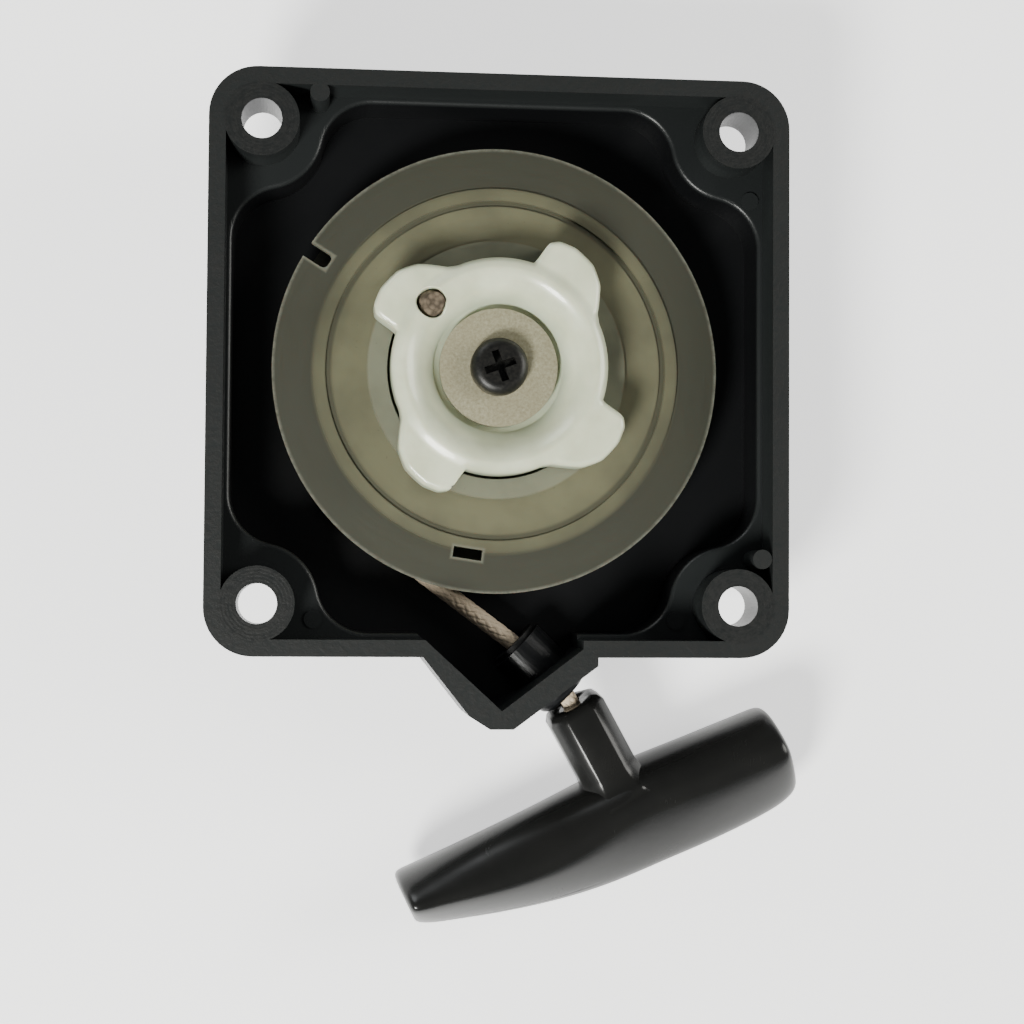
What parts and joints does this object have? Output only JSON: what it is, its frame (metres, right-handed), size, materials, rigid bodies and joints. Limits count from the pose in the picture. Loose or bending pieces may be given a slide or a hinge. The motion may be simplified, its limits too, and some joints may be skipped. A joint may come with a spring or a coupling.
{
  "type": "recoil starter",
  "caption": "Square recoil starter: open case with bolt bosses, nylon rope reel with a dogged drive hub, recoil spring, cord guide and T-handle on a pull rope.",
  "frame": {"origin": "centre of the mounting face (z = 0), on the reel's axis, which is the centre of the four bolt holes", "axes": "+Z out of the open side along the reel's axis towards the engine, -Y towards the rope nose and the handle, +X to the right when looking into the open side with the nose down"},
  "size_m": [0.095, 0.1338, 0.028],
  "materials": {
    "black_nylon": "moulded, scuffed on the rim",
    "guide_black": "smooth",
    "brass": "turned",
    "spring_steel": "rolled, lightly oiled",
    "natural_nylon": "translucent, satin",
    "white_nylon": "satin",
    "zinc_steel": "zinc plated, tumbled",
    "black_steel": "black oxide",
    "rope": "braided",
    "gloss_black": "polished"
  },
  "bodies": {
    "case": {"housing": "black_nylon", "rope_guide": "guide_black", "post_insert": "brass", "retaining_washer": "zinc_steel", "centre_screw": "black_steel", "recoil_spring": "spring_steel", "rope_run": "rope"},
    "rotor": {"reel": "natural_nylon", "drive_hub": "white_nylon", "rope_winding": "rope", "hub_knot": "rope"},
    "rope_end": {"rope_tail": "rope", "handle_knot": "rope", "knot_washer": "zinc_steel"},
    "grip": {"handle_grip": "gloss_black"}
  },
  "joints": [
    {"name": "handle_pull", "type": "slide", "parent": "case", "child": "rope_end", "axis": [0.5, -0.866, 0], "range_m": [0, 0.6]},
    {"name": "reel_spin", "type": "hinge", "parent": "case", "child": "rotor", "pos_m": [0, 0, 0], "axis": [0, 0, 1], "range_deg": [0, 1310], "stiffness_Nm_per_rad": 0.004, "springref_deg": -716.2, "deforming": ["recoil_spring"]},
    {"name": "handle_turn", "type": "hinge", "parent": "rope_end", "child": "grip", "pos_m": [0.01263, -0.05258, -0.01344], "axis": [0.4872, -0.8438, -0.225], "range_deg": [-90, 90]}
  ],
  "couplings": [
    {"joint": "reel_spin", "follows": "handle_pull", "rad_per_m": 38}
  ]
}
